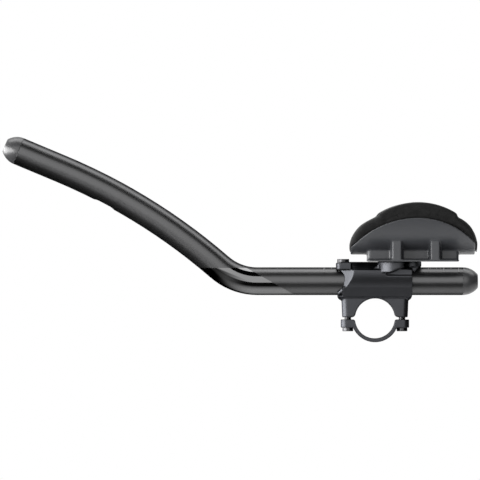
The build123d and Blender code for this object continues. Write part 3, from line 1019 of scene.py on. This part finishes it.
def makeScaleTree(setup):
    tree, start, end = geometryGroup("tubeScale", setup)
    first = addNode(tree, "ShaderNodeCombineXYZ")
    step = addNode(tree, "ShaderNodeCombineXYZ")
    row = addNode(tree, "GeometryNodeMeshLine")
    index = addNode(tree, "GeometryNodeInputIndex")
    odd = addNode(tree, "ShaderNodeMath", {"operation": "MODULO"}, {1: 2.0})
    even = addNode(tree, "ShaderNodeMath", {"operation": "SUBTRACT"}, {0: 1.0})
    both = addNode(tree, "GeometryNodeJoinGeometry")
    band = addNode(tree, "GeometryNodeCurvePrimitiveQuadrilateral")
    wire(
        tree,
        (start.outputs["First"], first.inputs["X"]),
        (start.outputs["Axis Height"], first.inputs["Z"]),
        (start.outputs["Pitch"], step.inputs["X"]),
        (start.outputs["Marks"], row.inputs["Count"]),
        (first.outputs[0], row.inputs["Start Location"]),
        (step.outputs[0], row.inputs["Offset"]),
        (index.outputs[0], odd.inputs[0]),
        (odd.outputs[0], even.inputs[1]),
        (start.outputs["Mark Depth"], band.inputs["Width"]),
        (start.outputs["Mark Width"], band.inputs["Height"]),
    )
    for label, pick in (("Short Arc", odd), ("Long Arc", even)):
        half = addNode(tree, "ShaderNodeMath", {"operation": "MULTIPLY_ADD"}, {1: -0.5, 2: math.pi / 2})
        arc = addNode(tree, "GeometryNodeCurveArc", None, {"Resolution": 24})
        upright = addNode(tree, "GeometryNodeTransform", None, {"Rotation": (math.pi / 2, 0, math.pi / 2)})
        mark = addNode(tree, "GeometryNodeCurveToMesh", None, {"Fill Caps": True})
        place = addNode(tree, "GeometryNodeInstanceOnPoints")
        wire(
            tree,
            (start.outputs[label], half.inputs[0]),
            (half.outputs[0], arc.inputs["Start Angle"]),
            (start.outputs[label], arc.inputs["Sweep Angle"]),
            (start.outputs["Radius"], arc.inputs["Radius"]),
            (arc.outputs["Curve"], mark.inputs["Curve"]),
            (band.outputs["Curve"], mark.inputs["Profile Curve"]),
            (mark.outputs["Mesh"], upright.inputs["Geometry"]),
            (row.outputs["Mesh"], place.inputs["Points"]),
            (pick.outputs[0], place.inputs["Selection"]),
            (upright.outputs["Geometry"], place.inputs["Instance"]),
            (place.outputs["Instances"], both.inputs[0]),
        )
    endGroup(tree, start, end, both.outputs[0])
    return tree


scaleValues = dict(scaleSetup, Finish=printFinish)
scaleMesh = bpy.data.meshes.new("tubeScale")
grownPiece("tubeScale", makeScaleTree(scaleSetup), scaleValues, scaleMesh, "extension")

# threads of the two clamp bolts, in the gap between bracket and cap
boltSetup = {
    "Shank Radius": 0.0025,
    "Thread Pitch": 0.0008,
    "Thread Depth": 0.00028,
    "Gap": 0.0018,
    "Bolt Offset": 0.02155,
}


def makeThreadTree(setup):
    tree, start, end = geometryGroup("boltThreads", setup)
    turns = addNode(tree, "ShaderNodeMath", {"operation": "DIVIDE"})
    helix = addNode(tree, "GeometryNodeCurveSpiral", None, {"Resolution": 32})
    ridge = addNode(tree, "GeometryNodeCurvePrimitiveCircle", None, {"Resolution": 6})
    thread = addNode(tree, "GeometryNodeCurveToMesh", None, {"Fill Caps": True})
    back = addNode(tree, "ShaderNodeMath", {"operation": "MULTIPLY"}, {1: -1.0})
    low = addNode(tree, "ShaderNodeMath", {"operation": "MULTIPLY"}, {1: -0.5})
    both = addNode(tree, "GeometryNodeJoinGeometry")
    wire(
        tree,
        (start.outputs["Gap"], turns.inputs[0]),
        (start.outputs["Thread Pitch"], turns.inputs[1]),
        (turns.outputs[0], helix.inputs["Rotations"]),
        (start.outputs["Shank Radius"], helix.inputs["Start Radius"]),
        (start.outputs["Shank Radius"], helix.inputs["End Radius"]),
        (start.outputs["Gap"], helix.inputs["Height"]),
        (start.outputs["Thread Depth"], ridge.inputs["Radius"]),
        (helix.outputs["Curve"], thread.inputs["Curve"]),
        (ridge.outputs["Curve"], thread.inputs["Profile Curve"]),
        (start.outputs["Bolt Offset"], back.inputs[0]),
        (start.outputs["Gap"], low.inputs[0]),
    )
    for offset in (back.outputs[0], start.outputs["Bolt Offset"]):
        place = addNode(tree, "ShaderNodeCombineXYZ")
        move = addNode(tree, "GeometryNodeTransform")
        wire(
            tree,
            (offset, place.inputs["X"]),
            (low.outputs[0], place.inputs["Z"]),
            (thread.outputs["Mesh"], move.inputs["Geometry"]),
            (place.outputs[0], move.inputs["Translation"]),
            (move.outputs["Geometry"], both.inputs[0]),
        )
    endGroup(tree, start, end, both.outputs[0])
    return tree


threadValues = dict(boltSetup, Finish=finishes["bolt_steel"])
threadMesh = bpy.data.meshes.new("clampThreads")
grownPiece("clampThreads", makeThreadTree(boltSetup), threadValues, threadMesh, "bracket")
